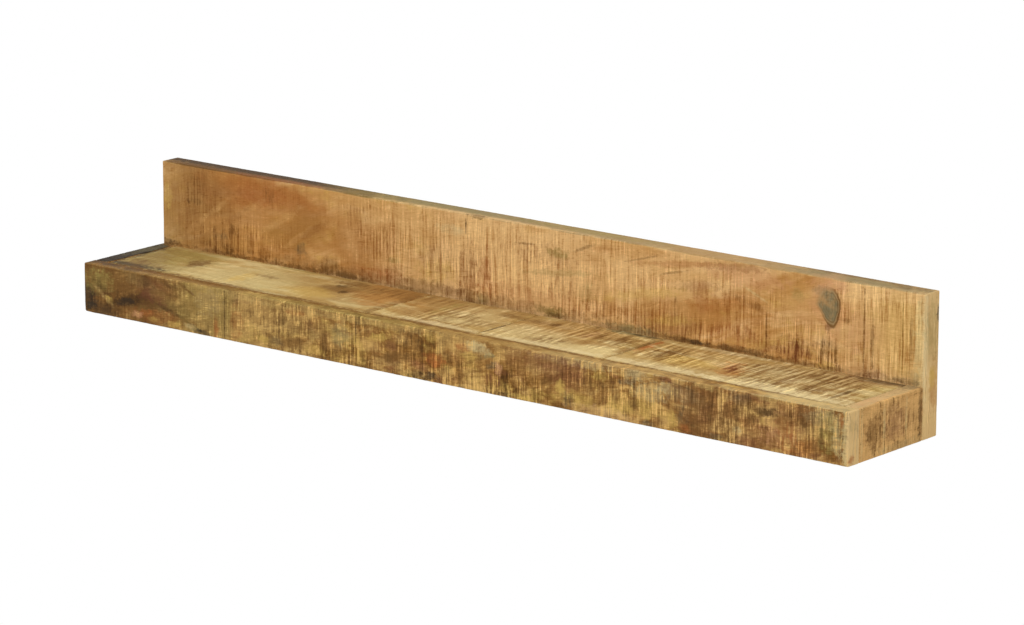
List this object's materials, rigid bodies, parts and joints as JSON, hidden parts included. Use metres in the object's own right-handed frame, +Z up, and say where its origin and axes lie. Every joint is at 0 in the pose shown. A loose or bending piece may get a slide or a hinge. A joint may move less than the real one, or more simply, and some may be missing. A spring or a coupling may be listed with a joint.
{
  "type": "floating wall shelf",
  "caption": "Floating wall shelf in rough sawn wood: a tall back board, a hollow shelf box with a planked top, and keyhole hanger plates let into the back.",
  "frame": {"origin": "middle of the line between the centres of the two keyholes' round entries, at the wall's face", "axes": "+X along the shelf to the right as seen from the room, +Y into the wall, +Z up"},
  "size_m": [1.2, 0.18, 0.175],
  "materials": {
    "board_wood": "rough sawn and oiled, warm orange tan, worn arrises",
    "rail_wood": "rough sawn and oiled, mottled brown and ochre",
    "top_wood": "sanded and oiled, pale straw with brown saw streaks",
    "inner_wood": "planed, unfinished",
    "dowel_wood": "plain beech",
    "zinc_plate": "zinc plated, slightly dull",
    "zinc_screw": "yellow zinc plated"
  },
  "bodies": {
    "root": {"back_board": "board_wood", "front_rail": "rail_wood", "left_end_rail": "rail_wood", "right_end_rail": "rail_wood", "top_board_1": "top_wood", "top_board_2": "top_wood", "top_board_3": "top_wood", "top_board_4": "top_wood", "bottom_panel": "inner_wood", "front_bearer": "inner_wood", "rear_bearer": "inner_wood", "left_bearer": "inner_wood", "right_bearer": "inner_wood", "rib_1": "inner_wood", "rib_2": "inner_wood", "rib_3": "inner_wood", "corner_dowels": "dowel_wood", "end_rail_screws": "zinc_screw", "rear_bearer_screws": "zinc_screw", "front_bearer_screws": "zinc_screw", "end_bearer_screws": "zinc_screw", "rib_screws": "zinc_screw", "bottom_panel_screws": "zinc_screw", "hanger_plate_screws": "zinc_screw", "left_hanger_plate": "zinc_plate", "right_hanger_plate": "zinc_plate"}
  },
  "joints": []
}
